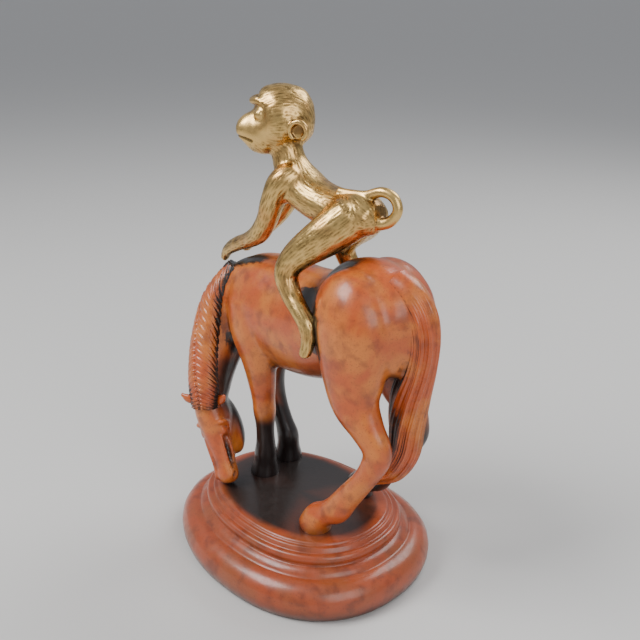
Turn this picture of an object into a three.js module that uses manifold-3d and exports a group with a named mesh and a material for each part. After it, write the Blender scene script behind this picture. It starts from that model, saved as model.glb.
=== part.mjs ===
// Monkey on horse figure, cast in three pieces: an oval plinth, a horse with its head down,
// and a monkey that leans forward on its back.
// Millimetres, +Z up. The horse faces -X, its near side faces -Y, and the plinth stands on Z = 0.
import * as THREE from "three";
import { mergeVertices } from "three/addons/utils/BufferGeometryUtils.js";
import Module from "manifold-3d";

const wasm = await Module();
wasm.setup();

// Driving dimensions
const PLATE_LENGTH = 83.6;
const PLATE_WIDTH = 60;
const PLATE_TOP = 25.3;
const OVAL_SQUARENESS = 2.2;
const HORSE_HEADING = THREE.MathUtils.degToRad(-3);
const HORSE_OFFSET_Y = 6.5;
const CONTACT_GAP = 0.3;
// The tail stands out past the plinth by this much, and the origin is in the middle of the whole
const TAIL_OVERHANG = 7.5;

const RED_LACQUER = { color: 0x9c3f16, roughness: 0.38, metalness: 0.25 };
const DARK_LACQUER = { color: 0x7a3218, roughness: 0.4, metalness: 0.25 };
const POLISHED_BRASS = { color: 0xc49a52, roughness: 0.32, metalness: 1 };

// A closed mesh as a solid, with its faces turned outwards
function solidOf(geometry) {
  const bare = geometry.clone();
  bare.deleteAttribute("normal");
  bare.deleteAttribute("uv");
  const merged = mergeVertices(bare, 1e-4);
  const position = merged.getAttribute("position");
  const point = (i) => new THREE.Vector3().fromBufferAttribute(position, i);
  const faces = [];
  let volume = 0;
  for (let i = 0; i < merged.index.count; i += 3) {
    const [a, b, c] = [0, 1, 2].map((k) => merged.index.getX(i + k));
    if (a === b || b === c || a === c) continue;
    faces.push([a, b, c]);
    volume += point(a).dot(point(b).cross(point(c)));
  }
  const outward = volume > 0 ? faces : faces.map(([a, b, c]) => [a, c, b]);
  return new wasm.Manifold(new wasm.Mesh({
    numProp: 3,
    vertProperties: new Float32Array(position.array),
    triVerts: new Uint32Array(outward.flat()),
  }));
}

function geometryOf(solid) {
  const mesh = solid.getMesh();
  const geometry = new THREE.BufferGeometry();
  geometry.setAttribute("position", new THREE.BufferAttribute(mesh.vertProperties, 3));
  geometry.setIndex(new THREE.BufferAttribute(mesh.triVerts, 1));
  geometry.computeVertexNormals();
  return geometry;
}

const joined = (solids) => solids.reduce((whole, solid) => whole.add(solid));

// A rounded form drawn along a smooth line of stations. A station is
// [x, y, z, half width, half depth on the face side, half depth on the other side].
// face is the direction of the face side, one for all or one for each station.
// ends rounds the two ends out by that many millimetres; relief(along, angle) raises the surface.
function form(stations, { face, sides = 14, steps = 3, ends = [1, 1], grow = 0, relief = null }) {
  const curve = (values) => new THREE.CatmullRomCurve3(values, false, "catmullrom", 0.5);
  const line = curve(stations.map(([x, y, z]) => new THREE.Vector3(x, y, z)));
  const size = curve(stations.map(([, , , w, f, b]) => new THREE.Vector3(w, f, b)));
  const faces = curve(stations.map((_, i) => new THREE.Vector3(...(Array.isArray(face[0]) ? face[i] : face))));
  const rows = (stations.length - 1) * steps + 2;
  const geometry = new THREE.SphereGeometry(1, sides, rows);
  const position = geometry.getAttribute("position");
  for (let row = 0; row <= rows; row += 1) {
    const along = THREE.MathUtils.clamp((row - 1) / (rows - 2), 0, 1);
    const centre = line.getPoint(along);
    const tangent = line.getTangent(along);
    const radii = size.getPoint(along);
    const out = faces.getPoint(along);
    out.addScaledVector(tangent, -out.dot(tangent)).normalize();
    const across = new THREE.Vector3().crossVectors(tangent, out);
    const pole = row === 0 || row === rows;
    if (row === 0) centre.addScaledVector(tangent, -ends[0] - grow);
    if (row === rows) centre.addScaledVector(tangent, ends[1] + grow);
    for (let side = 0; side <= sides; side += 1) {
      const angle = (side % sides) / sides * 2 * Math.PI;
      const raised = relief ? relief(along, angle) : 0;
      const depth = (Math.cos(angle) > 0 ? radii.y : radii.z) + raised + grow;
      const width = radii.x + raised + grow;
      const point = centre.clone();
      if (!pole) {
        point.addScaledVector(out, Math.cos(angle) * depth);
        point.addScaledVector(across, Math.sin(angle) * width);
      }
      position.setXYZ(row * (sides + 1) + side, point.x, point.y, point.z);
    }
  }
  return solidOf(geometry);
}

const mirrored = (stations) => stations.map(([x, y, ...rest]) => [x, -y, ...rest]);

// A leg that leans away more and more below the height `from`
function leaned(stations, { from, dx, dy }) {
  return stations.map(([x, y, z, ...size]) => {
    const share = THREE.MathUtils.clamp((from - z) / from, 0, 1);
    return [x + share * dx, y + share * dy, z, ...size];
  });
}

// Plinth: a turned profile drawn out to an oval, [outset from the plate edge, height]
const PLINTH_PROFILE = [
  [15.2, 0], [16.6, 1.6], [17.4, 6], [16.6, 10.4], [14.4, 13.4], [11, 15.1], [8.8, 15.2], [8.6, 16.3],
  [5.4, 17.6], [4.7, 18], [5.4, 19.8], [5, 21.8], [3.9, 22.5], [2.5, 22], [2.1, 24.1], [0.6, 24.1],
  [0, 25], [-0.8, PLATE_TOP],
];
const PLINTH_SIDES = 38;
const FAT_END = 0.09;

function ovalPoint(angle, outset) {
  const power = 2 / OVAL_SQUARENESS;
  const bend = (value) => Math.sign(value) * Math.abs(value) ** power;
  const x = (PLATE_LENGTH / 2 + outset) * bend(Math.cos(angle));
  const fat = 1 + FAT_END * Math.cos(angle);
  const y = (PLATE_WIDTH / 2 + outset) * bend(Math.sin(angle)) * fat;
  return [x, y];
}

function plinthSolid() {
  const profile = [[0, 0], ...PLINTH_PROFILE.map(([outset, z]) => [PLATE_WIDTH / 2 + outset, z]), [0, PLATE_TOP]];
  const points = profile.map(([radius, z]) => new THREE.Vector2(radius, z));
  const geometry = new THREE.LatheGeometry(points, PLINTH_SIDES);
  const position = geometry.getAttribute("position");
  for (let i = 0; i < position.count; i += 1) {
    const radius = Math.hypot(position.getX(i), position.getZ(i));
    const angle = Math.atan2(position.getZ(i), position.getX(i));
    const height = position.getY(i);
    const [x, y] = radius > 1 ? ovalPoint(angle, radius - PLATE_WIDTH / 2) : [0, 0];
    position.setXYZ(i, x, y, height);
  }
  return solidOf(geometry);
}

// Horse, in its own frame: x towards the tail, z up from the plate
const FORWARD = [-1, 0, 0];
const REARWARD = [1, 0, 0];
const UP = [0, 0, 1];

const TRUNK = [
  [-45, 2, 77, 6, 7, 9], [-40, 2, 79, 12, 14, 16], [-32, 1.5, 80.5, 16.5, 20, 21], [-21, 1, 80.5, 18.5, 22.5, 24.5],
  [-8, 0.5, 80, 18.5, 23, 25.5], [8, 0, 81, 18, 22.5, 24], [22, 0, 84, 18.5, 22, 21], [34, 0, 88, 20.5, 25.5, 21],
  [45, 0, 90, 18.5, 24, 20], [54, 0, 91, 13, 18, 18], [59, 0, 91, 7, 10, 12],
];
const NEAR_HAUNCH = [
  [38, -5, 108, 7, 9, 10], [37, -9.5, 102, 11, 15, 14], [37.5, -11.5, 94, 12.6, 17.5, 17],
  [38, -12, 83, 12.5, 15.5, 17], [39, -13.5, 71, 10.2, 11.5, 14.5], [42, -14.5, 61, 8, 9.2, 11.5],
  [48.5, -14.5, 53, 6, 6.6, 7.6], [53, -14, 47, 5.2, 5.8, 6], [53.5, -14, 42, 4.8, 5.6, 5.6],
  [48.5, -15, 32, 4, 4.3, 4.8], [40.5, -16.3, 20.5, 4.4, 4.8, 5.4], [35.5, -17.3, 13.5, 4.8, 5, 6.4],
  [30.5, -18, 9, 4.5, 4.8, 5.2], [26, -18.5, 5, 5.8, 6, 6], [24, -18.8, -1, 6.9, 7.6, 7],
];
const NEAR_FORE_LEG = [
  [-26, -9, 84, 8, 13, 13], [-24, -10.5, 71, 8, 11, 11.5], [-20.5, -10.5, 59, 6.6, 8.4, 8.6],
  [-19.3, -10, 48, 5.4, 6.6, 6.6], [-19, -9.4, 39, 4.6, 5.4, 5], [-19, -9, 33, 4.6, 5.4, 4.8],
  [-19.8, -8.5, 25, 3.7, 3.9, 4.2], [-20.6, -7.8, 16.5, 3.9, 4.1, 4.5], [-21.4, -7.2, 11, 4.7, 4.9, 5.2],
  [-22, -6.8, 6.5, 4.9, 5.3, 5.2], [-23, -6.4, -1, 6.7, 7.2, 6.6],
];
const FAR_HIND_LEAN = { from: 85, dx: -6, dy: -6.5 };
const FAR_FORE_LEG = [
  [-27, 9, 84, 8, 13, 13], [-28, 9.5, 71, 7.6, 10.5, 10.5], [-30, 8.5, 58, 6, 7.4, 7.4], [-32, 7.8, 46, 4.9, 5.6, 5.6],
  [-32.2, 7.6, 37, 4.6, 5.4, 4.8], [-29.5, 7.8, 28, 3.8, 4, 4.2], [-26.5, 8.4, 19, 3.9, 4.1, 4.4],
  [-24.8, 9, 13, 4.7, 4.8, 5.2], [-25.2, 9.7, 7, 4.8, 5.2, 5.2], [-26, 10.4, -1, 6.7, 7.2, 6.6],
];

const NECK = [
  [-26, 1, 84, 13, 18, 20], [-35, -1, 82, 12.2, 16, 19], [-42, -6, 74, 10.2, 13.2, 15],
  [-43.5, -12.5, 62, 8.8, 11, 12.5], [-42, -18.5, 50, 7.8, 9.4, 11], [-40, -22.5, 40, 7.2, 7.6, 10],
  [-39, -24.5, 34, 6.4, 6, 9.5],
];
const NECK_FACE = [
  [-0.3, 0, 1], [-0.5, -0.2, 0.85], [-0.55, -0.6, 0.55], [-0.2, -0.95, 0.25], [0.1, -1, 0.15],
  [0.3, -0.95, 0.2], [0.4, -0.9, 0.25],
];
const HEAD = [
  [-41.5, -24.2, 40, 5, 5, 7], [-39, -25, 35, 6.6, 6, 9], [-36.5, -25, 29, 7, 6.2, 10.5],
  [-33.5, -25, 22, 6, 5.4, 9.5], [-30, -25.2, 15, 4.7, 4.4, 6.2], [-27.6, -25.2, 9, 4.3, 4, 5],
  [-26, -25.4, 4.6, 4.8, 4.4, 5], [-24.8, -25.4, 1.6, 3.8, 3.2, 4],
];
const HEAD_FACE = [0.45, -0.85, 0.25];

// The mane lies over the crest in strands that slant away on both sides from a parting
const MANE_WIDTH = 0.93;
const MANE_SUNK = 2.4;
const MANE_RISE = 4.6;
const MANE_STRANDS = 12;
const STRAND_RISE = 0.6;
const STRAND_SLANT = 0.85;
const EARS = [
  [[-40, -30, 37.5, 1.9, 1.2, 1.2], [-43.5, -32.5, 38.5, 2.1, 1.3, 1.3], [-46.5, -34, 40, 0.8, 0.6, 0.6]],
  [[-34, -24.5, 37.5, 1.9, 1.2, 1.2], [-31, -23.5, 39.5, 2.1, 1.3, 1.3], [-29, -23, 42, 0.8, 0.6, 0.6]],
];
const FORELOCK = [[-38.5, -30.5, 33, 3.4, 1.6, 2], [-35.5, -31, 27.5, 3, 1.5, 2], [-33.5, -30.6, 22.5, 1.2, 0.6, 1]];

const TAIL = [
  [48, 0, 107, 6.5, 6.5, 6], [55, 0.5, 104, 6, 6, 6], [60, 1, 97, 5.8, 5.4, 6], [61.5, 1.5, 87.5, 5.6, 5, 6.4],
  [60, 2, 76, 5.8, 4.8, 8], [57.5, 2, 64, 6.2, 4.8, 10], [55.5, 2, 52, 6, 5, 9.5], [54, 1.5, 40, 5.6, 5.4, 6.5],
  [49.5, 0, 30, 4.6, 4.4, 4.4], [42, -2, 24, 2.6, 2.6, 2.6],
];

const TAIL_LOCKS = 7;
const LOCK_RISE = 0.55;

// The mane follows the crest of the neck, from behind the monkey's hands to the brow
function maneStations() {
  return NECK.slice(1).map(([x, y, z, width, crest, throat], i) => {
    const out = new THREE.Vector3(...NECK_FACE[i + 1]).normalize().multiplyScalar(crest - MANE_SUNK);
    const wide = width * MANE_WIDTH * (i === 0 ? 0.55 : 1);
    return [x + out.x, y + out.y, z + out.z, wide, MANE_RISE, throat / 2];
  });
}

function maneStrands(along, angle) {
  const fromParting = Math.min(angle, 2 * Math.PI - angle);
  const parting = fromParting < 0.01 ? STRAND_RISE : 0;
  return STRAND_RISE * Math.cos(2 * Math.PI * (along * MANE_STRANDS - fromParting * STRAND_SLANT)) - parting;
}

function tailLocks(along, angle) {
  const loose = THREE.MathUtils.smoothstep(along, 0.1, 0.3);
  return LOCK_RISE * loose * Math.cos(TAIL_LOCKS * angle + 3 * Math.sin(along * 5));
}

function horseForms(grow) {
  const legs = { face: FORWARD, sides: 10, steps: 2, ends: [0, 0], grow };
  return [
    form(TRUNK, { face: UP, sides: 18, steps: 2, ends: [2, 2], grow }),
    form(NEAR_HAUNCH, { ...legs, ends: [3, 0] }),
    form(leaned(mirrored(NEAR_HAUNCH), FAR_HIND_LEAN), { ...legs, ends: [3, 0] }),
    form(NEAR_FORE_LEG, legs),
    form(FAR_FORE_LEG, legs),
    form(NECK, { face: NECK_FACE, sides: 12, steps: 2, ends: [0, 1], grow }),
    form(HEAD, { face: HEAD_FACE, sides: 12, steps: 2, ends: [1, 1.2], grow }),
    form(maneStations(), {
      face: NECK_FACE.slice(1), sides: 16, steps: 6, ends: [0.6, 0.6], grow, relief: maneStrands,
    }),
    ...EARS.map((ear) => form(ear, { face: HEAD_FACE, sides: 6, steps: 1, ends: [0, 0.6], grow })),
    form(FORELOCK, { face: HEAD_FACE, sides: 8, steps: 1, ends: [0, 0.6], grow }),
    form(TAIL, { face: REARWARD, sides: 21, steps: 2, ends: [0, 2], grow, relief: tailLocks }),
  ];
}

// Monkey, in the horse's frame
const MONKEY_TORSO = [
  [38, -1, 129, 7, 6, 5], [31, -1, 129.5, 10, 8.5, 8], [20, -1, 130, 9.5, 7.5, 8], [8, -1.5, 132, 9, 7.5, 8],
  [-2, -2, 137, 9.5, 7.5, 8], [-7, -2.5, 143.5, 7, 6.5, 6.5], [-9, -3, 151, 5.5, 6, 6],
];
const HEAD_CENTRE = [-13, -3, 159.5];
const HEAD_TURN = THREE.MathUtils.degToRad(48);
// [forward of the centre, above it, half width, half height above, half height below]
const HEAD_PROFILE = [
  [-13.5, 1, 5, 6, 6], [-10, 1, 9.5, 11, 9.5], [-3, 1, 12, 13.6, 11.5], [4, 0, 11.5, 13, 13.5],
  [9, -1.5, 9, 10, 12.5], [12.5, -3, 6.8, 5.6, 9.8], [15.5, -4, 5.6, 4.6, 6.6], [17.3, -4, 4, 3, 4.6],
];
const NEAR_ARM = [
  [-1, -8, 143, 5, 5.4, 5], [-3.5, -10.5, 138, 5.2, 5.6, 5.4], [-8, -11, 130, 4.4, 4.8, 4.6], [-12, -10.8, 122, 4, 4.2, 4.2],
  [-19, -9.5, 114.5, 3.8, 4, 4], [-28, -8, 109.5, 3.2, 3.4, 3.4], [-38, -6.8, 105.5, 3.2, 2.6, 3],
  [-46, -5.6, 101, 3, 2, 2.4], [-49.5, -5, 96.5, 2.4, 1.6, 1.8],
];
const FAR_ARM = [
  [-9, 5, 143, 5, 5, 5], [-13, 8, 137, 5, 5.2, 5], [-20, 9, 128, 4.4, 4.6, 4.6], [-27, 8.5, 119, 4, 4.2, 4.2],
  [-34, 7, 112, 3.6, 3.8, 3.8], [-41, 5.5, 106, 3.2, 3, 3.2], [-47, 4.5, 100, 3, 2, 2.4],
];
const NEAR_LEG = [
  [30, -5, 130, 7, 8, 8.5], [23, -12, 122.5, 6.8, 7.6, 7.8], [14, -18, 114, 5.2, 5.8, 5.8], [10.5, -20.5, 107, 4.4, 4.6, 4.6],
  [14, -21.5, 100, 3.8, 3.8, 4], [20, -22.5, 95, 3.4, 3.4, 3.6], [24.5, -23, 90.5, 3.2, 3.2, 3.6],
  [25.5, -23.5, 84.5, 2.8, 2.4, 3], [24.5, -24.5, 78.5, 2.8, 2, 2.4],
];
const FAR_LEG = [
  [29, 3, 130, 7, 8, 8.5], [19, 11, 122.5, 6.6, 7.4, 7.6], [7, 17, 114, 5.2, 5.8, 5.8], [1, 19.5, 107, 4.4, 4.6, 4.6],
  [3, 21, 100, 3.8, 3.8, 4], [8, 22, 95, 3.4, 3.4, 3.6], [12.5, 22.5, 90.5, 3.2, 3.2, 3.6],
  [13.5, 23, 84.5, 2.8, 2.4, 3], [12.5, 24, 78.5, 2.8, 2, 2.4],
];
const MONKEY_TAIL = [
  [33, -1, 128.5, 2.8, 2.8, 2.8], [38, 0, 127.8, 2.4, 2.4, 2.4], [42.8, 1.2, 129.3, 2, 2, 2],
  [45.6, 2, 133.6, 1.8, 1.8, 1.8], [43.8, 1.8, 138, 1.8, 1.8, 1.8], [39, 0.5, 139.6, 1.8, 1.8, 1.8],
  [33, -1.2, 137.4, 2, 1.7, 1.7], [27, -2.6, 136.8, 2.2, 1.6, 1.6], [21, -3.6, 137.2, 1.8, 1.3, 1.3],
];

function monkeyHead() {
  const [x, y, z] = HEAD_CENTRE;
  const stations = HEAD_PROFILE.map(([ahead, above, ...size]) => [
    x - ahead * Math.cos(HEAD_TURN), y - ahead * Math.sin(HEAD_TURN), z + above, ...size,
  ]);
  return form(stations, { face: UP, sides: 14, steps: 2, ends: [0.8, 0.8] });
}

// A place on the head, by its distance ahead of the centre, above it and towards the near side
function headPoint(ahead, above, aside) {
  const [x, y, z] = HEAD_CENTRE;
  const [c, s] = [Math.cos(HEAD_TURN), Math.sin(HEAD_TURN)];
  return [x - ahead * c + aside * s, y - ahead * s - aside * c, z + above];
}

// Brow ridge, ears and cheeks; side is 1 for the near side and -1 for the far side
const BROW = [[8, 7, 6.5], [10.6, 7.6, 3.2], [11.2, 7.4, 0]];
const EAR = [[-5.2, -2.6, 10.6], [-6.2, -2.8, 14]];

function monkeyFace(side) {
  const brow = BROW.map(([ahead, above, aside]) => [...headPoint(ahead, above, side * aside), 1.7, 1.6, 1.6]);
  const ear = EAR.map(([ahead, above, aside]) => [...headPoint(ahead, above, side * aside), 3.4, 4.4, 4.4]);
  return [
    form(brow, { face: UP, sides: 8, steps: 2, ends: [1, 0.6] }),
    form(ear, { face: UP, sides: 12, steps: 1, ends: [0, 0.7] }),
  ];
}

function monkeyForms() {
  const limbs = { face: [-0.6, -0.6, 0.3], sides: 8, steps: 2, ends: [1, 1] };
  return [
    form(MONKEY_TORSO, { face: UP, sides: 12, steps: 2, ends: [2, 1] }),
    monkeyHead(),
    ...monkeyFace(1),
    ...monkeyFace(-1),
    form(NEAR_ARM, limbs),
    form(FAR_ARM, limbs),
    form(NEAR_LEG, limbs),
    form(FAR_LEG, limbs),
    form(MONKEY_TAIL, { face: [0, -1, 0], sides: 8, steps: 3, ends: [0, 1] }),
  ];
}

// All that lies below the plate, less the clearance that touching castings keep
const UNDER_PLATE = [300, 300, 40];
function underPlate() {
  const slab = new THREE.BoxGeometry(...UNDER_PLATE);
  return solidOf(slab.translate(0, 0, CONTACT_GAP - UNDER_PLATE[2] / 2));
}

function piece(name, solid, look) {
  const mesh = new THREE.Mesh(geometryOf(solid), new THREE.MeshStandardMaterial(look));
  mesh.name = name;
  return mesh;
}

const figure = new THREE.Group();
figure.position.x = -TAIL_OVERHANG / 2;
figure.add(piece("plinth", plinthSolid(), DARK_LACQUER));

const animals = new THREE.Group();
animals.position.set(0, HORSE_OFFSET_Y, PLATE_TOP);
animals.rotation.z = HORSE_HEADING;
animals.add(piece("horse", joined(horseForms(0)).subtract(underPlate()), RED_LACQUER));
animals.add(piece("monkey", joined(monkeyForms()).subtract(joined(horseForms(CONTACT_GAP))), POLISHED_BRASS));
figure.add(animals);

export default figure;
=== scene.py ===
"""Monkey on horse figure: an oval plinth, a horse with its head down, and a monkey on its back.

The two animals are shaped in millimetres in the horse's own frame (x towards its tail, y towards
its far side, z up from the plate) and put in place at the end. The plinth has its own frame.
"""

import math

import bpy
import numpy as np
from mathutils import Euler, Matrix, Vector
from mathutils.bvhtree import BVHTree
from mathutils.kdtree import KDTree


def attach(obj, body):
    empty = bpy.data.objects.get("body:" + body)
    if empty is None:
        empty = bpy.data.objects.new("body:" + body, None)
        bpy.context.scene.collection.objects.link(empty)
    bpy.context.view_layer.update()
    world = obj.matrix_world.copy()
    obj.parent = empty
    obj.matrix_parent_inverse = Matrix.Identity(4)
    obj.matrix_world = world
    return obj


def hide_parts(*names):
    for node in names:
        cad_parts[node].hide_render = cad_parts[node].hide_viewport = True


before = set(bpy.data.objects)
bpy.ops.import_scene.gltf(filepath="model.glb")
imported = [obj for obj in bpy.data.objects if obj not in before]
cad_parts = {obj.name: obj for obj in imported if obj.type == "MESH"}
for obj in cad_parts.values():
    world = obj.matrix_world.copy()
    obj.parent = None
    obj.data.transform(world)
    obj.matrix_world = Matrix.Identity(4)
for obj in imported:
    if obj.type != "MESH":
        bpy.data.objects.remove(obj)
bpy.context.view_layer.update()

# Places and sizes that the whole figure shares, in millimetres
MM = 0.001
TAIL_OVERHANG = 7.5
PLATE_LENGTH = 83.6
PLATE_WIDTH = 60.0
PLATE_TOP = 25.3
OVAL_SQUARENESS = 2.2
FAT_END = 0.09
HORSE_HEADING = math.radians(-3)
HORSE_OFFSET_Y = 6.5

UP = (0, 0, 1)
FORWARD = (-1, 0, 0)
REARWARD = (1, 0, 0)


# Smooth lines and rounded forms

def drawn(values, share):
    """The smooth line through the values, at each share of its length from 0 to 1."""
    v = np.asarray(values, float)
    place = np.clip(share, 0, 1) * (len(v) - 1)
    i = np.clip(np.floor(place).astype(int), 0, len(v) - 2)
    w = (place - i)[:, None]
    v = np.vstack([2 * v[0] - v[1], v, 2 * v[-1] - v[-2]])
    a, b, c, d = v[i], v[i + 1], v[i + 2], v[i + 3]
    return 0.5 * (2 * b + (c - a) * w + (2 * a - 5 * b + 4 * c - d) * w**2 + (3 * b - a - 3 * c + d) * w**3)


def unit(vectors):
    return vectors / np.linalg.norm(vectors, axis=-1, keepdims=True)


class Form:
    """A rounded form along a smooth line of stations.

    A station is x, y, z, half width, half depth on the face side and half depth on the other side.
    """

    def __init__(self, stations, face, ends=(1, 1), sides=32, steps=8, relief=None, grow=0.0):
        self.stations = np.array(stations, float)
        self.face = np.array(face, float)
        if self.face.ndim == 1:
            self.face = np.tile(self.face, (len(self.stations), 1))
        self.ends = ends
        self.sides = sides
        self.steps = steps
        self.relief = relief
        self.grow = grow

    def length(self):
        line = drawn(self.stations[:, :3], np.linspace(0, 1, 60))
        return float(np.linalg.norm(np.diff(line, axis=0), axis=1).sum())

    def axes(self, along):
        """The centre, direction, face side and cross direction at each share of the length."""
        line = self.stations[:, :3]
        reach = 0.01
        centre = drawn(line, along)
        ahead = unit(drawn(line, np.minimum(along + reach, 1)) - drawn(line, np.maximum(along - reach, 0)))
        out = drawn(self.face, along)
        out = unit(out - ahead * (out * ahead).sum(1, keepdims=True))
        return centre, ahead, out, np.cross(ahead, out)

    def skin(self, along, angle):
        """Points on the surface."""
        along = np.clip(along, 0, 1)
        centre, _, out, across = self.axes(along)
        size = drawn(self.stations[:, 3:], along)
        raised = self.grow + (self.relief(along, angle) if self.relief else 0)
        depth = np.where(np.cos(angle) > 0, size[:, 1], size[:, 2]) + raised
        width = size[:, 0] + raised
        return centre + out * (np.cos(angle) * depth)[:, None] + across * (np.sin(angle) * width)[:, None]

    def build(self, name):
        """A ball drawn out along the line."""
        rows = (len(self.stations) - 1) * self.steps + 2
        bpy.ops.object.select_all(action="DESELECT")
        bpy.ops.mesh.primitive_uv_sphere_add(segments=self.sides, ring_count=rows, radius=1)
        piece = bpy.context.object
        piece.name = name
        ball = points_of(piece)
        row = np.rint(np.arccos(np.clip(ball[:, 2], -1, 1)) / math.pi * rows)
        angle = np.arctan2(ball[:, 1], ball[:, 0])
        along = np.clip((row - 1) / (rows - 2), 0, 1)
        place = self.skin(along, angle)
        for pole, side, rounding in ((0, -1, self.ends[0]), (rows, 1, self.ends[1])):
            at = row == pole
            centre, ahead, _, _ = self.axes(along[at])
            place[at] = centre + ahead * side * (rounding + self.grow)
        set_points(piece, place)
        face_outwards(piece)
        return piece


def points_of(piece):
    flat = np.empty(len(piece.data.vertices) * 3, np.float32)
    piece.data.vertices.foreach_get("co", flat)
    return flat.reshape(-1, 3).astype(float)


def set_points(piece, points):
    piece.data.vertices.foreach_set("co", points.astype(np.float32).ravel())
    piece.data.update()


def normals_of(piece):
    flat = np.empty(len(piece.data.vertices) * 3, np.float32)
    piece.data.vertex_normals.foreach_get("vector", flat)
    return flat.reshape(-1, 3).astype(float)


def only(piece):
    """Selects one piece and nothing else."""
    bpy.ops.object.select_all(action="DESELECT")
    piece.select_set(True)
    bpy.context.view_layer.objects.active = piece


def face_outwards(piece):
    only(piece)
    bpy.ops.object.mode_set(mode="EDIT")
    bpy.ops.mesh.select_all(action="SELECT")
    bpy.ops.mesh.normals_make_consistent(inside=False)
    bpy.ops.object.mode_set(mode="OBJECT")


def modified(piece, kind, **values):
    """Adds one modifier and applies it."""
    only(piece)
    step = piece.modifiers.new(kind.title(), kind)
    for name, value in values.items():
        setattr(step, name, value)
    bpy.ops.object.modifier_apply(modifier=step.name)
    return piece


def joined(name, pieces):
    only(pieces[0])
    for other in pieces[1:]:
        other.select_set(True)
    bpy.ops.object.join()
    whole = bpy.context.object
    whole.name = name
    whole.data.name = name
    return whole


def cast(name, pieces, voxel, rounds):
    """Joins the pieces into one skin, and softens where they meet."""
    whole = joined(name, pieces)
    modified(whole, "REMESH", mode="VOXEL", voxel_size=voxel, adaptivity=0.0)
    if rounds:
        modified(whole, "SMOOTH", factor=0.5, iterations=rounds)
    return whole


def settle(piece):
    """Puts a piece shaped in the horse's frame in its place on the plinth."""
    p = points_of(piece)
    c, s = math.cos(HORSE_HEADING), math.sin(HORSE_HEADING)
    x = p[:, 0] * c - p[:, 1] * s - TAIL_OVERHANG / 2
    y = p[:, 0] * s + p[:, 1] * c + HORSE_OFFSET_Y
    set_points(piece, np.stack([x, y, p[:, 2] + PLATE_TOP], 1) * MM)


def keep_value(piece, name, values):
    """A value for each point of the mesh, which the materials read."""
    layer = piece.data.attributes.get(name) or piece.data.attributes.new(name, "FLOAT", "POINT")
    layer.data.foreach_set("value", np.clip(values, 0, 1).astype(np.float32))


def ramp(values, low, high):
    """0 below low, 1 above high, and a smooth rise between."""
    t = np.clip((values - low) / (high - low), 0, 1)
    return t * t * (3 - 2 * t)


# Engraved strokes

class Strokes:
    """Short grooves, each a row of points with a strength from 0 to 1."""

    def __init__(self):
        self.points = []
        self.strengths = []

    def add(self, points, strength=1.0, taper=True):
        points = np.asarray(points, float)
        share = np.linspace(0, 1, len(points))
        profile = np.sin(math.pi * np.clip(share, 0.06, 0.94)) ** 0.6 if taper else np.ones(len(points))
        self.points.append(points)
        self.strengths.append(profile * strength)

    def add_line(self, stations, strength=1.0, spacing=0.25, taper=True):
        """One groove along the smooth line through the stations."""
        stations = np.asarray(stations, float)
        reach = np.linalg.norm(np.diff(stations, axis=0), axis=1).sum()
        count = max(3, int(reach / spacing))
        self.add(drawn(stations, np.linspace(0, 1, count)), strength, taper)


def nearness(points, strokes, width):
    """How deep each point lies in the nearest groove, from 0 to 1."""
    places = np.concatenate(strokes.points)
    strengths = np.concatenate(strokes.strengths)
    tree = KDTree(len(places))
    for i, place in enumerate(places):
        tree.insert(place, i)
    tree.balance()
    near = np.zeros(len(points))
    low, high = places.min(0) - 3 * width, places.max(0) + 3 * width
    inside = np.nonzero(((points > low) & (points < high)).all(1))[0]
    for i in inside:
        _, which, away = tree.find(points[i])
        if away < 3 * width:
            near[i] = strengths[which] * math.exp(-((away / width) ** 2))
    return near


def engrave(piece, strokes, width, depth, marks=None):
    """Presses the strokes into the surface, or raises them where depth is negative."""
    points = points_of(piece)
    near = nearness(points, strokes, width)
    set_points(piece, points - normals_of(piece) * (near * depth)[:, None])
    return near if marks is None else np.maximum(marks, near)


def dent(piece, centre, reach, depth):
    """A soft round hollow."""
    points = points_of(piece)
    away = np.linalg.norm(points - np.array(centre), axis=1)
    press = depth * np.exp(-((away / reach) ** 2))
    set_points(piece, points - normals_of(piece) * press[:, None])


def crowding(points, normals, others, cell=1.5, reach=3.5):
    """How closely surfaces stand in front of each point, from 0 on open ground to 1 in a recess. The
    materials darken by it as painted shade.
    """
    low = others.min(0) - 12
    count = np.ceil((others.max(0) + 12 - low) / cell).astype(int)
    grid = np.zeros(count)
    i = np.floor((others - low) / cell).astype(int)
    np.add.at(grid, tuple(i.T), 1.0)
    wide = 2
    for axis in range(3):
        grid = sum(np.roll(grid, shift, axis) for shift in range(-wide, wide + 1))
    ahead = points + normals * reach
    j = np.clip(np.floor((ahead - low) / cell).astype(int), 0, count - 1)
    seen = grid[tuple(j.T)]
    usual = np.median(seen)
    return ramp(seen / max(usual, 1e-6), 1.4, 3.2)


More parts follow.
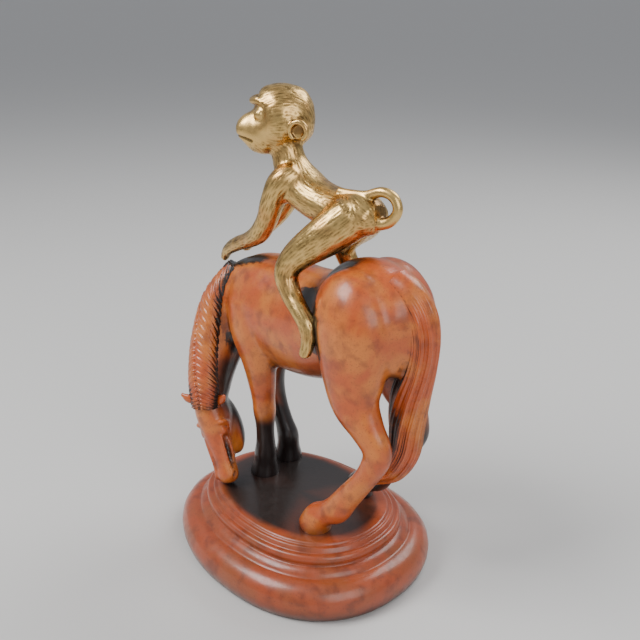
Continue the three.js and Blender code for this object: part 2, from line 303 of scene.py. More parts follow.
def comb(piece, flow, where, pitch, length, seed):
    """Evenly spaced strokes that follow the flow over the surface, as hair does.

    flow is a direction for each point of the mesh, and where is the strength of its strokes.
    """
    draw = np.random.default_rng(seed)
    points = points_of(piece)
    tree = BVHTree.FromObject(piece, bpy.context.evaluated_depsgraph_get())
    corners = [tuple(face.vertices)[0] for face in piece.data.polygons]
    taken = {}
    strokes = Strokes()
    cell = lambda p: (math.floor(p[0] / pitch), math.floor(p[1] / pitch), math.floor(p[2] / pitch))
    around = [(i, j, k) for i in (-1, 0, 1) for j in (-1, 0, 1) for k in (-1, 0, 1)]

    def crowded(p, reach):
        a, b, c = cell(p)
        for i, j, k in around:
            for q in taken.get((a + i, b + j, c + k), ()):
                if (q[0] - p[0]) ** 2 + (q[1] - p[1]) ** 2 + (q[2] - p[2]) ** 2 < reach * reach:
                    return True
        return False

    step = 0.5
    candidates = np.nonzero(where > 0.05)[0]
    draw.shuffle(candidates)
    for seed_point in candidates[: int(len(candidates) * 0.5)]:
        p = Vector(points[seed_point])
        if crowded(p, pitch * 0.85):
            continue
        strength = where[seed_point] * draw.uniform(0.6, 1.0)
        path = [p]
        for _ in range(int(length * draw.uniform(0.6, 1.3) / step)):
            place, _, face, _ = tree.find_nearest(p)
            ahead = Vector(flow[corners[face]])
            if ahead.length < 0.1:
                break
            p, _, face, _ = tree.find_nearest(place + ahead.normalized() * step)
            if where[corners[face]] < 0.05 or crowded(p, pitch * 0.6):
                break
            path.append(p)
        if len(path) < 4:
            continue
        for q in path:
            taken.setdefault(cell(q), []).append(q)
        strokes.add(path, strength)
    return strokes


def limb_flow(points, forms):
    """The direction of the nearest limbs at each point, from their first station to their last."""
    places, heads = [], []
    for form in forms:
        centre, ahead, _, _ = form.axes(np.linspace(0, 1, 40))
        girth = drawn(form.stations[:, 3:], np.linspace(0, 1, 40)).mean(1)
        places.append(np.column_stack([centre, girth]))
        heads.append(ahead)
    places, heads = np.concatenate(places), np.concatenate(heads)
    flow = np.zeros_like(points)
    for first in range(0, len(points), 20000):
        part = points[first:first + 20000]
        away = np.linalg.norm(part[:, None] - places[None, :, :3], axis=2) - places[:, 3]
        weight = np.exp(-np.clip(away, 0, None) / 0.8)
        flow[first:first + 20000] = weight @ heads / (weight.sum(1, keepdims=True) + 1e-9)
    return flow


def mirrored(stations):
    return [(x, -y, *rest) for x, y, *rest in stations]


def leaned(stations, base, dx, dy):
    """A leg that leans away more and more below the height base."""
    return [
        (x + np.clip((base - z) / base, 0, 1) * dx, y + np.clip((base - z) / base, 0, 1) * dy, z, *rest)
        for x, y, z, *rest in stations
    ]


# Horse

TRUNK = [
    (-45, 2, 77, 6, 7, 9), (-40, 2, 79, 12, 14, 16), (-32, 1.5, 80.5, 16.5, 20, 21),
    (-21, 1, 80.5, 18.5, 22.5, 24.5), (-8, 0.5, 80, 18.5, 23, 25.5), (8, 0, 81, 18, 22.5, 24),
    (22, 0, 84, 18.5, 22, 21), (34, 0, 88, 20.5, 25.5, 21), (45, 0, 90, 18.5, 24, 20),
    (54, 0, 91, 13, 18, 18), (59, 0, 91, 7, 10, 12),
]
NEAR_HAUNCH = [
    (38, -5, 108, 7, 9, 10), (37, -9.5, 102, 11, 15, 14), (37.5, -11.5, 94, 12.6, 17.5, 17),
    (38, -12, 83, 12.5, 15.5, 17), (39, -13.5, 71, 10.2, 11.5, 14.5), (42, -14.5, 61, 8, 9.2, 11.5),
    (48.5, -14.5, 53, 6, 6.6, 7.6), (53, -14, 47, 5.2, 5.8, 6), (53.5, -14, 42, 4.8, 5.6, 5.6),
    (48.5, -15, 32, 4, 4.3, 4.8), (40.5, -16.3, 20.5, 4.4, 4.8, 5.4), (35.5, -17.3, 13.5, 4.8, 5, 6.4),
    (30.5, -18, 9, 4.5, 4.8, 5.2), (26, -18.5, 5, 5.8, 6, 6), (24, -18.8, -1, 6.9, 7.6, 7),
]
FAR_HAUNCH = leaned(mirrored(NEAR_HAUNCH), 85, -6, -6.5)
NEAR_FORE_LEG = [
    (-26, -9, 84, 8, 13, 13), (-24, -10.5, 71, 8, 11, 11.5), (-20.5, -10.5, 59, 6.6, 8.4, 8.6),
    (-19.3, -10, 48, 5.4, 6.6, 6.6), (-19, -9.4, 39, 4.6, 5.4, 5), (-19, -9, 33, 4.6, 5.4, 4.8),
    (-19.8, -8.5, 25, 3.7, 3.9, 4.2), (-20.6, -7.8, 16.5, 3.9, 4.1, 4.5), (-21.4, -7.2, 11, 4.7, 4.9, 5.2),
    (-22, -6.8, 6.5, 4.9, 5.3, 5.2), (-23, -6.4, -1, 6.7, 7.2, 6.6),
]
FAR_FORE_LEG = [
    (-27, 9, 84, 8, 13, 13), (-28, 9.5, 71, 7.6, 10.5, 10.5), (-30, 8.5, 58, 6, 7.4, 7.4),
    (-32, 7.8, 46, 4.9, 5.6, 5.6), (-32.2, 7.6, 37, 4.6, 5.4, 4.8), (-29.5, 7.8, 28, 3.8, 4, 4.2),
    (-26.5, 8.4, 19, 3.9, 4.1, 4.4), (-24.8, 9, 13, 4.7, 4.8, 5.2), (-25.2, 9.7, 7, 4.8, 5.2, 5.2),
    (-26, 10.4, -1, 6.7, 7.2, 6.6),
]
NECK = [
    (-26, 1, 84, 13, 18, 20), (-35, -1, 82, 12.2, 16, 19), (-42, -6, 74, 10.2, 13.2, 15),
    (-43.5, -12.5, 62, 8.8, 11, 12.5), (-42, -18.5, 50, 7.8, 9.4, 11), (-40, -22.5, 40, 7.2, 7.6, 10),
    (-39, -24.5, 34, 6.4, 6, 9.5),
]
NECK_FACE = [
    (-0.3, 0, 1), (-0.5, -0.2, 0.85), (-0.55, -0.6, 0.55), (-0.2, -0.95, 0.25), (0.1, -1, 0.15),
    (0.3, -0.95, 0.2), (0.4, -0.9, 0.25),
]
HEAD = [
    (-41.5, -24.2, 40, 5, 5, 7), (-39, -25, 35, 6.6, 6, 10), (-36.5, -25, 29, 7, 6.2, 11.5),
    (-33.5, -25, 22, 6, 5.4, 9.5), (-30, -25.2, 15, 4.7, 4.4, 6.2), (-27.6, -25.2, 9, 4.3, 4, 5),
    (-26, -25.4, 4.6, 4.8, 4.4, 5), (-24.8, -25.4, 1.6, 3.8, 3.2, 4),
]
HEAD_FACE = (0.28, -0.94, 0.12)
# The round jaw, as share of the head's length, depth behind its middle, half width and half depth
JAW = [
    (0.12, 7, 4, 4.5), (0.28, 8.4, 5.4, 6.6), (0.42, 9, 5.8, 7.8), (0.53, 8.4, 5.4, 7), (0.63, 6, 4.4, 4.6),
]
EARS = [
    [(-40, -30, 37.5, 1.9, 1.2, 1.2), (-43.5, -32.5, 38.5, 2.1, 1.3, 1.3), (-46.5, -34, 40, 0.8, 0.6, 0.6)],
    [(-34, -24.5, 37.5, 1.9, 1.2, 1.2), (-31, -23.5, 39.5, 2.1, 1.3, 1.3), (-29, -23, 42, 0.8, 0.6, 0.6)],
]
TAIL = [
    (48, 0, 107, 6.5, 6.5, 6), (55, 0.5, 104, 6, 6, 6), (60, 1, 97, 5.8, 5.4, 6),
    (61.5, 1.5, 87.5, 5.6, 5, 6.4), (60, 2, 76, 5.8, 4.8, 8), (57.5, 2, 64, 6.2, 4.8, 10),
    (55.5, 2, 52, 6, 5, 9.5), (54, 1.5, 40, 5.6, 5.4, 6.5), (49.5, 0, 30, 4.6, 4.4, 4.4),
    (42, -2, 24, 2.6, 2.6, 2.6),
]
MANE_WIDTH = 0.93
MANE_SUNK = 2.4
MANE_RISE = 4.6
MANE_STRANDS = 22
STRAND_RISE = 0.55
STRAND_SLANT = 0.85
TAIL_LOCKS = 9
LOCK_RISE = 0.5


def jaw_form():
    head = Form(HEAD, HEAD_FACE)
    centre, _, out, _ = head.axes(np.array([share for share, *_ in JAW]))
    return Form([(*(c - o * depth), w, h, h) for c, o, (_, depth, w, h) in zip(centre, out, JAW)], HEAD_FACE)


# Places on the horse's head: share of its length, turn from the forehead in degrees, height above it
EYE_SPOT = (0.4, 78)
HORSE_UPPER_LID = [(0.345, 66, 0.1), (0.355, 80, 0.7), (0.385, 94, 0.7), (0.43, 100, 0.1)]
HORSE_LOWER_LID = [(0.345, 66, 0), (0.4, 62, 0.5), (0.44, 76, 0.5), (0.435, 98, 0)]
HORSE_BROW = [(0.33, 48, 0), (0.325, 66, 0.6), (0.335, 86, 0.6), (0.37, 102, 0)]
FACIAL_CREST = [(0.47, 86, 0), (0.55, 88, 0.5), (0.64, 90, 0.5), (0.72, 90, 0)]
NASAL_EDGE = [(0.44, 52, 0), (0.55, 52, 0.4), (0.68, 54, 0.45), (0.8, 56, 0.3), (0.84, 60, 0)]
NOSTRIL_RIM = [(0.8, 82, 0), (0.79, 68, 0.5), (0.83, 56, 0.6), (0.89, 58, 0.5), (0.9, 72, 0.1)]
NOSTRIL_PIT = [(0.83, 78, 0), (0.85, 70, 0), (0.86, 66, 0)]
HORSE_MOUTH = [(0.99, 100, 0), (0.95, 112, 0), (0.9, 118, 0), (0.85, 116, 0)]
FACE_HOLLOW = [(0.46, 70, 0), (0.56, 72, 0), (0.66, 74, 0), (0.74, 76, 0)]


def on_head(places, side):
    """Points on the horse's head; side is -1 for the side that faces the horse's body."""
    share, turn, lift = (np.array(column, float) for column in zip(*places))
    head = Form(HEAD, HEAD_FACE, grow=0.2)
    angle = np.radians(turn) * side
    skin = head.skin(share, angle)
    inner = Form(HEAD, HEAD_FACE, grow=-0.8).skin(share, angle)
    return skin + unit(skin - inner) * lift[:, None]


def horse_face():
    forms = []
    for side in (-1, 1):
        eye = on_head([(EYE_SPOT[0] + d, EYE_SPOT[1], -0.9) for d in (-0.02, 0, 0.02)], side)
        forms.append(Form([(*p, r, r, r) for p, r in zip(eye, (1.3, 2, 1.3))], UP, ends=(0.5, 0.5)))
        for line, size in ((HORSE_UPPER_LID, 0.55), (HORSE_LOWER_LID, 0.45), (HORSE_BROW, 1.0),
                           (FACIAL_CREST, 0.9), (NASAL_EDGE, 1.0), (NOSTRIL_RIM, 0.7)):
            points = drawn(on_head(line, side), np.linspace(0, 1, 6))
            sizes = size * np.sin(np.linspace(0.35, math.pi - 0.35, 6)) ** 0.5
            forms.append(Form([(*p, r, r, r) for p, r in zip(points, sizes)], UP, ends=(0.2, 0.2)))
    return [form.build("feature") for form in forms]


def mane_strands(along, angle):
    from_parting = np.abs((angle + math.pi) % (2 * math.pi) - math.pi)
    phase = along * MANE_STRANDS - from_parting**1.4 * STRAND_SLANT * 1.6
    lock = np.abs(((phase % 1) * 2) - 1)
    hair = np.cos(2 * math.pi * phase * 3)
    groove = np.exp(-((from_parting / 0.09) ** 2))
    return STRAND_RISE * (1 - lock**2.5) + 0.12 * hair - 0.9 * groove


def mane_form():
    stations = []
    for i, (x, y, z, width, crest, throat) in enumerate(NECK[1:]):
        out = Vector(NECK_FACE[i + 1]).normalized() * (crest - MANE_SUNK)
        wide = width * MANE_WIDTH * (0.55 if i == 0 else 1)
        stations.append((x + out.x, y + out.y, z + out.z, wide, MANE_RISE, throat / 2))
    return Form(stations, NECK_FACE[1:], ends=(0.6, 0.6), sides=160, steps=60, relief=mane_strands)


def tail_locks(along, angle):
    loose = ramp(along, 0.08, 0.3)
    sweep = 3 * np.sin(along * 5)
    lock = np.cos(TAIL_LOCKS * angle + sweep)
    hair = np.cos(TAIL_LOCKS * 4 * angle + sweep * 4)
    return loose * (LOCK_RISE * lock + 0.16 * hair)


def horse_forms():
    leg = dict(face=FORWARD, ends=(0, 0), grow=0.35)
    return [
        Form(TRUNK, UP, ends=(2, 2)),
        Form(NEAR_HAUNCH, FORWARD, ends=(3, 0), grow=0.25),
        Form(FAR_HAUNCH, FORWARD, ends=(3, 0), grow=0.25),
        Form(NEAR_FORE_LEG, **leg),
        Form(FAR_FORE_LEG, **leg),
        Form(NECK, NECK_FACE, ends=(0, 1)),
        Form(HEAD, HEAD_FACE, ends=(1, 1.2), grow=0.2),
        jaw_form(),
        Form(TAIL, REARWARD, ends=(0, 2), grow=-0.6),
    ]


def horse_black_and_shade(points, normals):
    """Black low on the fore legs and darker at the hooves, with painted shade on every downward face, low on
    the far side, and on the neck and head where they face the body.
    """
    x, y, z = points.T
    fore_legs = ramp(-x, 5, 10) * ramp(36 - z, 0, 9) * ramp(y, -16, -13)
    # Painted shade: the far side, away from the light, is darkened low down
    far_side = ramp(y, 2, 8) * ramp(62 - z, 0, 20)
    # Painted shade under every face that turns downward
    under = ramp(-normals[:, 2], 0.25, 0.95)
    # Painted shade on the neck and head where they face the body
    throat = ramp(-x, 28, 34) * ramp(64 - z, 0, 12) * ramp(normals[:, 1] + 0.5 * normals[:, 0], -0.1, 0.5)
    hooves = 0.5 * ramp(5 - z, 0, 4)
    return np.maximum.reduce([fore_legs, far_side, 0.8 * under, throat, hooves])


def make_horse():
    flesh = cast("horse", [form.build("flesh") for form in horse_forms()], 1.0, 8)
    features = [Form(ear, HEAD_FACE, ends=(0, 0.6)).build("ear") for ear in EARS]
    horse = cast("horse", [flesh, *features, *horse_face()], 0.7, 2)
    lines = Strokes()
    pits = Strokes()
    hollows = Strokes()
    for side in (-1, 1):
        lines.add_line(on_head(HORSE_MOUTH, side))
        pits.add_line(on_head(NOSTRIL_PIT, side), taper=False)
        hollows.add_line(on_head(FACE_HOLLOW, side))
    marks = engrave(horse, hollows, width=1.1, depth=0.9)
    marks = engrave(horse, lines, width=0.5, depth=0.6, marks=marks)
    marks = engrave(horse, pits, width=0.8, depth=1.1, marks=marks)
    keep_value(horse, "groove", marks)
    return horse


# Monkey, in the horse's frame

MONKEY_TORSO = [
    (38, -1, 129, 7, 6, 5), (31, -1, 129.5, 10, 8.5, 8), (20, -1, 130, 9.5, 7.5, 8),
    (8, -1.5, 132, 9, 7.5, 8), (-2, -2, 137, 9.5, 7.5, 8), (-7, -2.5, 143.5, 7, 6.5, 6.5),
    (-9, -3, 151, 5.5, 6, 6),
]
HEAD_CENTRE = (-13, -3, 159.5)
HEAD_TURN = math.radians(48)
HEAD_PROFILE = [
    (-13.5, 1, 5, 6, 6), (-10, 1, 9.5, 11, 9.5), (-3, 1, 12, 13.4, 11.5), (2, 0.5, 11.4, 13.4, 13.2),
    (6, 0, 9, 12, 12.6), (8.8, 0, 7, 10, 10.4), (10.6, 0.5, 4.6, 7.6, 7.6),
]
MUZZLE_PROFILE = [
    (4, -4, 9, 6, 9.2), (8.6, -3.5, 7.2, 8.6, 8.6), (12, -3, 5.8, 6.8, 6.4), (14.4, -2.8, 4.7, 5, 4.5),
    (16.2, -2.7, 3.4, 3, 3),
]
BROW = [(1.8, 5.8, 9.3, 1), (4.6, 7.3, 7, 1.4), (7.7, 8.2, 4, 1.7), (9.6, 8, 1.2, 1.5), (9.8, 7.8, 0, 1.5)]
UPPER_LID = [
    (8.9, 3.9, 3.7, 0.4), (8, 5.2, 4.9, 0.6), (6.4, 5.2, 6.4, 0.65), (4.8, 3.8, 7.8, 0.6),
    (3.8, 2.2, 8.6, 0.4),
]
LOWER_LID = [
    (8.9, 3.6, 3.8, 0.4), (8, 1.9, 5.2, 0.55), (6.4, 1.1, 6.9, 0.6), (4.9, 1.2, 8, 0.5),
    (3.8, 2, 8.6, 0.35),
]
EYE = (6.9, 3.2, 5.6, 2.5)
SOCKET = (7, 3.2, 7, 3.4, 1.5)
EAR_CENTRE = (-7.4, -2, 13.2)
EAR_REACH = (3.2, 3.5)
NOSTRIL = (16.6, -1.6, 1.5)
MOUTH = [(16.6, -5, 0), (15.4, -5.4, 2.6), (13, -6, 4.6), (10.6, -6.8, 5.9)]
NEAR_ARM = [
    (0, -5, 141.5, 4, 4.4, 4), (-3.5, -9.6, 138, 5.2, 5.6, 5.4), (-8, -11, 130, 4.4, 4.8, 4.6),
    (-12, -10.8, 122, 4, 4.2, 4.2), (-19, -9.5, 114.5, 3.8, 4, 4), (-28, -8, 109.5, 3.2, 3.4, 3.4),
    (-38, -6.8, 105.5, 3.2, 2.6, 3), (-46, -5.6, 101, 3, 2, 2.4), (-49.5, -5, 96.5, 2.4, 1.6, 1.8),
]
FAR_ARM = [
    (-6, 1.5, 141.5, 4, 4, 4), (-11, 6.5, 137.5, 5, 5.2, 5), (-20, 9, 128, 4.4, 4.6, 4.6),
    (-27, 8.5, 119, 4, 4.2, 4.2), (-34, 7, 112, 3.6, 3.8, 3.8), (-41, 5.5, 106, 3.2, 3, 3.2),
    (-47, 4.5, 100, 3, 2, 2.4),
]
NEAR_LEG = [
    (30, -5, 130, 7, 8, 8.5), (23, -12, 122.5, 6.8, 7.6, 7.8), (14, -18, 114, 5.2, 5.8, 5.8),
    (10.5, -20.5, 107, 4.4, 4.6, 4.6), (14, -21.5, 100, 3.8, 3.8, 4), (20, -22.5, 95, 3.4, 3.4, 3.6),
    (24.5, -23, 90.5, 3.2, 3.2, 3.6), (25.5, -23.5, 84.5, 2.8, 2.4, 3), (24.5, -24.5, 78.5, 2.8, 2, 2.4),
]
FAR_LEG = [
    (29, 3, 130, 7, 8, 8.5), (19, 11, 122.5, 6.6, 7.4, 7.6), (7, 17, 114, 5.2, 5.8, 5.8),
    (1, 19.5, 107, 4.4, 4.6, 4.6), (3, 21, 100, 3.8, 3.8, 4), (8, 22, 95, 3.4, 3.4, 3.6),
    (12.5, 22.5, 90.5, 3.2, 3.2, 3.6), (13.5, 23, 84.5, 2.8, 2.4, 3), (12.5, 24, 78.5, 2.8, 2, 2.4),
]
MONKEY_TAIL = [
    (33, -1, 128.5, 2.8, 2.8, 2.8), (38, 0, 127.8, 2.4, 2.4, 2.4), (42.8, 1.2, 129.3, 2, 2, 2),
    (45.6, 2, 133.6, 1.8, 1.8, 1.8), (43.8, 1.8, 138, 1.8, 1.8, 1.8), (39, 0.5, 139.6, 1.8, 1.8, 1.8),
    (33, -1.2, 137.4, 2, 1.7, 1.7), (27, -2.6, 136.8, 2.2, 1.6, 1.6), (21, -3.6, 137.2, 1.8, 1.3, 1.3),
]
LIMB_FACE = (-0.6, -0.6, 0.3)


def head_point(ahead, above, aside):
    """A place by its distance ahead of the head's centre, above it and towards the near side."""
    x, y, z = HEAD_CENTRE
    c, s = math.cos(HEAD_TURN), math.sin(HEAD_TURN)
    return (x - ahead * c + aside * s, y - ahead * s - aside * c, z + above)


def head_stations(places, side=1):
    """Stations of a round form on the head, from ahead, above, aside and radius."""
    return [(*head_point(ahead, above, side * aside), *[size] * 3) for ahead, above, aside, size in places]


def ear_forms(side):
    """A round shell with a rolled rim, open at the front."""
    ahead, above, aside = EAR_CENTRE
    rim = []
    for turn in np.radians([-55, -20, 20, 65, 110, 155, 200, 240]):
        x = ahead + EAR_REACH[0] * math.cos(turn)
        z = above + EAR_REACH[1] * math.sin(turn)
        rim.append((x, z, aside - 0.45 * math.cos(turn) * EAR_REACH[0], 1.05 if turn > 0 else 0.8))
    shell = [(*head_point(ahead, above, side * (aside + d)), 3, 3.3, 3.3) for d in (-4.5, -2.6, -1.4)]
    return [Form(head_stations(rim, side), UP, ends=(0.4, 0.4)), Form(shell, UP, ends=(0, 0.1))]


def monkey_features():
    forms = []
    for side in (1, -1):
        ahead, above, aside, size = EYE
        ball = [(ahead - size * 0.75, above, aside, size * 0.6), (ahead, above, aside, size),
                (ahead + size * 0.75, above, aside, size * 0.6)]
        forms += [
            Form(head_stations(BROW, side), UP, ends=(0.6, 0)),
            Form(head_stations(ball, side), UP, ends=(size * 0.2, size * 0.2)),
            Form(head_stations(UPPER_LID, side), UP, ends=(0.2, 0.2)),
            Form(head_stations(LOWER_LID, side), UP, ends=(0.2, 0.2)),
            *ear_forms(side),
        ]
    forms.append(Form(MONKEY_TAIL, (0, -1, 0), ends=(0, 1), grow=0.1))
    return [form.build("feature") for form in forms]


def monkey_limbs():
    limb = dict(face=LIMB_FACE, ends=(1, 1), grow=0.25)
    return [
        Form(MONKEY_TORSO[::-1], UP, ends=(1, 2), grow=0.2),
        Form(NEAR_ARM, **limb),
        Form(FAR_ARM, **limb),
        Form(NEAR_LEG, **limb),
        Form(FAR_LEG, **limb),
    ]


def monkey_flesh():
    head = [(*head_point(ahead, above, 0), *size) for ahead, above, *size in HEAD_PROFILE]
    muzzle = [(*head_point(ahead, above, 0), *size) for ahead, above, *size in MUZZLE_PROFILE]
    forms = [Form(head, UP, ends=(0.8, 0.8)), Form(muzzle, UP, ends=(0.5, 0.9)), *monkey_limbs()]
    flesh = cast("monkey", [form.build("flesh") for form in forms], 0.7, 12)
    for side in (1, -1):
        ahead, above, aside, reach, depth = SOCKET
        dent(flesh, head_point(ahead, above, side * aside), reach, depth)
    return flesh


def head_coordinates(points):
    """How far each point lies ahead of the head's centre, above it and towards the near side."""
    c, s = math.cos(HEAD_TURN), math.sin(HEAD_TURN)
    d = points - np.array(HEAD_CENTRE)
    return -d[:, 0] * c - d[:, 1] * s, d[:, 2], d[:, 0] * s - d[:, 1] * c


FACE_CENTRE = (12, 0, 0)


def fur_flow(points):
    """Hair runs down the limbs and the back, and away from the middle of the face."""
    ahead, above, aside = head_coordinates(points)
    flow = limb_flow(points, monkey_limbs())
    c, s = math.cos(HEAD_TURN), math.sin(HEAD_TURN)
    fx, fz, fy = ahead - FACE_CENTRE[0], above - FACE_CENTRE[1], aside - FACE_CENTRE[2]
    fz = fz - 14 * ramp(-ahead, 2, 12)
    away = np.stack([-fx * c + fy * s, -fx * s - fy * c, fz], 1)
    on_head = ramp(above + 0.35 * ahead, -12.5, -9.5)[:, None]
    return flow * (1 - on_head) + unit(away) * on_head


def fur_strength(points):
    """No strokes on the bare face, the ears and the tail."""
    ahead, above, aside = head_coordinates(points)
    bare = 1 - ramp(((ahead - 11) / 8.2) ** 2 + ((above + 0.5) / 7.5) ** 2, 0.8, 1.15)
    ear = 1 - ramp(np.hypot(ahead - EAR_CENTRE[0], above - EAR_CENTRE[1]), 3.4, 4.4)
    ear = ear * ramp(np.abs(aside), 9, 10)
    ring = np.array(MONKEY_TAIL)[1:, :3]
    tail = np.ones(len(points))
    for a in drawn(ring, np.linspace(0, 1, 40)):
        tail = np.minimum(tail, ramp(np.linalg.norm(points - a, axis=1), 2.3, 3))
    return np.clip(1 - bare - ear, 0, 1) * tail


def make_monkey():
    monkey = cast("monkey", [monkey_flesh(), *monkey_features()], 0.44, 2)
    points = points_of(monkey)
    fur = comb(monkey, fur_flow(points), fur_strength(points), pitch=1.05, length=6, seed=3)
    marks = engrave(monkey, fur, width=0.3, depth=0.22)
    slits = Strokes()
    for side in (1, -1):
        slits.add_line([head_point(a, b, side * c) for a, b, c in MOUTH], taper=False)
    marks = engrave(monkey, slits, width=0.5, depth=0.7, marks=marks)
    pits = Strokes()
    for side in (1, -1):
        pits.add([head_point(NOSTRIL[0], NOSTRIL[1], side * NOSTRIL[2])] * 3, taper=False)
    marks = engrave(monkey, pits, width=0.7, depth=0.9, marks=marks)
    keep_value(monkey, "groove", marks)
    return monkey


# Plinth

PLINTH_SIDES = 360
PLINTH_PROFILE = [
    (15.2, 0), (16.3, 1.4), (17.2, 4.2), (17.4, 7), (16.8, 10), (15, 12.8), (12.4, 14.6), (9.8, 15.3),
    (8.7, 15.2), (8.6, 16.3), (5.4, 17.6), (4.7, 17.9), (5.3, 19.2), (5.5, 20.6), (5, 21.9), (4, 22.5),
    (2.9, 22), (2.3, 22.4), (2.1, 24.1), (1.4, 24.4), (0.6, 24.1), (0.2, 24.6), (0, 25.1), (-0.8, PLATE_TOP),
]


def oval(angle, outset):
    """A point of the plinth's oval, which is a little fatter at the horse's tail end."""
    power = 2 / OVAL_SQUARENESS
    bend = lambda value: np.sign(value) * np.abs(value) ** power
    x = (PLATE_LENGTH / 2 + outset) * bend(np.cos(angle))
    y = (PLATE_WIDTH / 2 + outset) * bend(np.sin(angle)) * (1 + FAT_END * np.cos(angle))
    return x, y


def make_plinth():
    plate = [(-inset, PLATE_TOP) for inset in (2, 3.5, 5, PLATE_WIDTH / 2)]
    outline = [(-PLATE_WIDTH / 2, 0), *PLINTH_PROFILE, *plate]
    mesh = bpy.data.meshes.new("plinth")
    points = [(PLATE_WIDTH / 2 + outset, 0, z) for outset, z in outline]
    mesh.from_pydata(points, [(i, i + 1) for i in range(len(points) - 1)], [])
    plinth = bpy.data.objects.new("plinth", mesh)
    bpy.context.scene.collection.objects.link(plinth)
    only(plinth)
    bpy.ops.object.mode_set(mode="EDIT")
    bpy.ops.mesh.select_all(action="SELECT")
    bpy.ops.mesh.spin(steps=PLINTH_SIDES, angle=2 * math.pi, center=(0, 0, 0), axis=(0, 0, 1))
    bpy.ops.mesh.remove_doubles(threshold=0.0001)
    bpy.ops.object.mode_set(mode="OBJECT")
    p = points_of(plinth)
    radius = np.hypot(p[:, 0], p[:, 1])
    x, y = oval(np.arctan2(p[:, 1], p[:, 0]), radius - PLATE_WIDTH / 2)
    middle = radius < 0.01
    p[:, 0] = np.where(middle, 0, x) - TAIL_OVERHANG / 2
    p[:, 1] = np.where(middle, 0, y)
    set_points(plinth, p * MM)
    face_outwards(plinth)
    return plinth


# Materials

def new_material(name):
    material = bpy.data.materials.new(name)
    material.use_nodes = True
    tree = material.node_tree
    return material, tree, tree.nodes["Principled BSDF"]


def value_of(tree, name):
    node = tree.nodes.new("ShaderNodeAttribute")
    node.attribute_name = name
    return node.outputs["Fac"]


def noise_of(tree, scale, detail=3.0, distortion=0.0):
    place = tree.nodes.get("Place") or tree.nodes.new("ShaderNodeTexCoord")
    place.name = "Place"
    node = tree.nodes.new("ShaderNodeTexNoise")
    node.inputs["Scale"].default_value = scale
    node.inputs["Detail"].default_value = detail
    node.inputs["Distortion"].default_value = distortion
    tree.links.new(place.outputs["Object"], node.inputs["Vector"])
    return node.outputs["Fac"]


def between(tree, value, low, high, out_low=0.0, out_high=1.0):
    """A value brought from one range to another."""
    node = tree.nodes.new("ShaderNodeMapRange")
    node.interpolation_type = "SMOOTHSTEP"
    for name, number in (("From Min", low), ("From Max", high), ("To Min", out_low), ("To Max", out_high)):
        node.inputs[name].default_value = number
    tree.links.new(value, node.inputs["Value"])
    return node.outputs["Result"]


def blended(tree, share, first, second):
    """Two colours, plain or linked, mixed by a share."""
    node = tree.nodes.new("ShaderNodeMix")
    node.data_type = "RGBA"
    tree.links.new(share, node.inputs["Factor"])
    for socket, color in ((node.inputs[6], first), (node.inputs[7], second)):
        if isinstance(color, tuple):
            socket.default_value = (*color, 1)
        else:
            tree.links.new(color, socket)
    return node.outputs[2]


def times(tree, first, second):
    node = tree.nodes.new("ShaderNodeMath")
    node.operation = "MULTIPLY"
    for socket, value in zip(node.inputs, (first, second)):
        if isinstance(value, (int, float)):
            socket.default_value = value
        else:
            tree.links.new(value, socket)
    return node.outputs[0]


def bumped(tree, shader, height, strength, distance=0.0003):
    node = tree.nodes.new("ShaderNodeBump")
    node.inputs["Strength"].default_value = strength
    node.inputs["Distance"].default_value = distance
    tree.links.new(height, node.inputs["Height"])
    tree.links.new(node.outputs["Normal"], shader.inputs["Normal"])


def lacquer(name, bright, warm, deep, black):
    """Red patina over metal: mottled, speckled, black in its engraved grooves, and blackened by the shade
    value, which is painted shade in the hollows and underneath as well as the black plinth top and lower
    fore legs.
    """
    material, tree, shader = new_material(name)
    clouds = between(tree, noise_of(tree, 70, 4, 0.4), 0.38, 0.66)
    color = blended(tree, clouds, bright, warm)
    depth = between(tree, noise_of(tree, 180, 5, 0.2), 0.45, 0.72)
    color = blended(tree, times(tree, depth, 0.55), color, deep)
    specks = between(tree, noise_of(tree, 1500, 2), 0.55, 0.75)
    color = blended(tree, times(tree, specks, 0.45), color, deep)
    shade = value_of(tree, "shade")
    # Painted shade: the colour goes to black where the shade value is high
    color = blended(tree, shade, color, black)
    color = blended(tree, value_of(tree, "groove"), color, black)
    tree.links.new(color, shader.inputs["Base Color"])
    rough = between(tree, noise_of(tree, 300, 4), 0.3, 0.7, 0.28, 0.42)
    tree.links.new(rough, shader.inputs["Roughness"])
    shader.inputs["Coat Weight"].default_value = 0.35
    shader.inputs["Coat Roughness"].default_value = 0.18
    bumped(tree, shader, noise_of(tree, 900, 3), 0.12)
    return material


# The bright, warm, deep and black tones of each lacquer; the black also paints the shade
RED_TONES = [(0.5, 0.085, 0.014), (0.6, 0.17, 0.025), (0.17, 0.03, 0.01), (0.016, 0.01, 0.009)]
DARK_TONES = [(0.36, 0.062, 0.016), (0.3, 0.07, 0.02), (0.1, 0.022, 0.01), (0.02, 0.013, 0.011)]


def brass(name):
    """Bare brass, dark in its engraved strokes, redder where it is tarnished, and darker brown in its
    recesses as painted shade.
    """
    material, tree, shader = new_material(name)
    tarnish = between(tree, noise_of(tree, 90, 4, 0.3), 0.42, 0.7)
    color = blended(tree, times(tree, tarnish, 0.5), (0.76, 0.5, 0.18), (0.62, 0.3, 0.1))
    # Painted shade: darker brown in recesses, by the shade value
    color = blended(tree, times(tree, value_of(tree, "shade"), 0.8), color, (0.2, 0.1, 0.035))
    color = blended(tree, value_of(tree, "groove"), color, (0.07, 0.035, 0.012))
    tree.links.new(color, shader.inputs["Base Color"])
    rough = between(tree, noise_of(tree, 400, 4), 0.3, 0.7, 0.24, 0.38)
    tree.links.new(rough, shader.inputs["Roughness"])
    shader.inputs["Metallic"].default_value = 1.0
    bumped(tree, shader, noise_of(tree, 1200, 3), 0.1)
    return material


# Studio

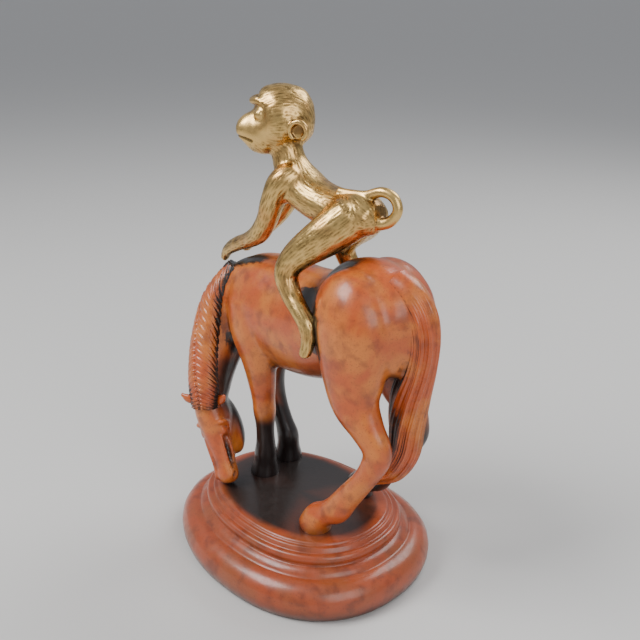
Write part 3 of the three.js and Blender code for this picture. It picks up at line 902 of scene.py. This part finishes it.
def area_light(name, place, aim, size, power, color=(1, 1, 1)):
    data = bpy.data.lights.new(name, "AREA")
    data.shape = "RECTANGLE"
    data.size, data.size_y = size
    data.energy = power
    data.color = color
    light = bpy.data.objects.new(name, data)
    bpy.context.scene.collection.objects.link(light)
    light.location = place
    light.rotation_euler = (Vector(aim) - Vector(place)).to_track_quat("-Z", "Y").to_euler()
    return light


FLOOR_SIZE = 60


def make_studio():
    bpy.ops.object.select_all(action="DESELECT")
    bpy.ops.mesh.primitive_plane_add(size=FLOOR_SIZE)
    floor = bpy.context.object
    floor.name = "floor"
    material, _, shader = new_material("pale_floor")
    shader.inputs["Base Color"].default_value = (0.62, 0.61, 0.59, 1)
    shader.inputs["Roughness"].default_value = 0.8
    floor.data.materials.append(material)
    world = bpy.data.worlds.new("studio")
    bpy.context.scene.world = world
    world.use_nodes = True
    world.node_tree.nodes["Background"].inputs["Color"].default_value = (0.9, 0.93, 1, 1)
    world.node_tree.nodes["Background"].inputs["Strength"].default_value = 0.45
    middle = (0, 0, 0.1)
    area_light("key", (-0.35, -0.55, 0.85), middle, (0.5, 0.5), 9)
    area_light("fill", (0.75, -0.25, 0.5), middle, (0.6, 0.6), 3)
    area_light("rim", (0.1, 0.6, 0.7), middle, (0.5, 0.5), 4)


CAMERA_PLACE = (0.22745, -0.2259, 0.2332)
CAMERA_TURN = (math.radians(68.6), 0, math.radians(44))
CAMERA_LENS = 47.8


def make_camera():
    data = bpy.data.cameras.new("camera")
    data.lens = CAMERA_LENS
    data.sensor_width = 36
    data.clip_start = 0.01
    camera = bpy.data.objects.new("camera", data)
    bpy.context.scene.collection.objects.link(camera)
    camera.location = CAMERA_PLACE
    camera.rotation_euler = Euler(CAMERA_TURN)
    bpy.context.scene.camera = camera


def finish_piece(piece, node, material, replaces=True):
    piece.data.materials.clear()
    piece.data.materials.append(material)
    only(piece)
    bpy.ops.object.shade_smooth()
    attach(piece, "root")
    if replaces:
        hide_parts(node)


def make_mane():
    return mane_form().build("mane")


def make_tail():
    return Form(TAIL, REARWARD, ends=(0, 2), sides=250, steps=40, relief=tail_locks).build("tail")


def plinth_black_and_shade(points):
    """The plate's top is black, and the lower half of the rim, which turns downward, is darkened as painted
    shade.
    """
    radius = np.hypot((points[:, 0] + TAIL_OVERHANG / 2) / PLATE_LENGTH, points[:, 1] / PLATE_WIDTH) * 2
    top = ramp(points[:, 2], 24, 25) * (1 - ramp(radius, 0.86, 0.99))
    # Painted shade on the rim below its widest point
    foot = ramp(7 - points[:, 2], 0, 6)
    return np.maximum(top, 0.7 * foot)


def main():
    make_camera()
    make_studio()
    red = lacquer("red_lacquer", *RED_TONES)
    dark = lacquer("dark_lacquer", *DARK_TONES)
    gold = brass("bright_brass")
    horse, mane, tail, monkey = make_horse(), make_mane(), make_tail(), make_monkey()
    everything = np.concatenate([points_of(p)[::2] for p in (horse, monkey)])
    for piece in (horse, mane, tail, monkey):
        points, normals = points_of(piece), normals_of(piece)
        # Painted shade in recesses, from how crowded each point is
        shade = crowding(points, normals, everything)
        if piece is not monkey:
            # The horse adds its black and its painted shade underneath, on the far side and behind the head
            shade = np.maximum(shade, horse_black_and_shade(points, normals))
        keep_value(piece, "shade", shade)
    plinth = make_plinth()
    keep_value(plinth, "shade", plinth_black_and_shade(points_of(plinth) / MM))
    for piece in (horse, mane, tail, monkey):
        settle(piece)
    finish_piece(plinth, "plinth", dark)
    for piece in (horse, mane, tail):
        finish_piece(piece, "horse", red)
    finish_piece(monkey, "monkey", gold)
    for piece in (plinth, horse, mane, tail, monkey):
        print(piece.name, len(piece.data.polygons))


main()
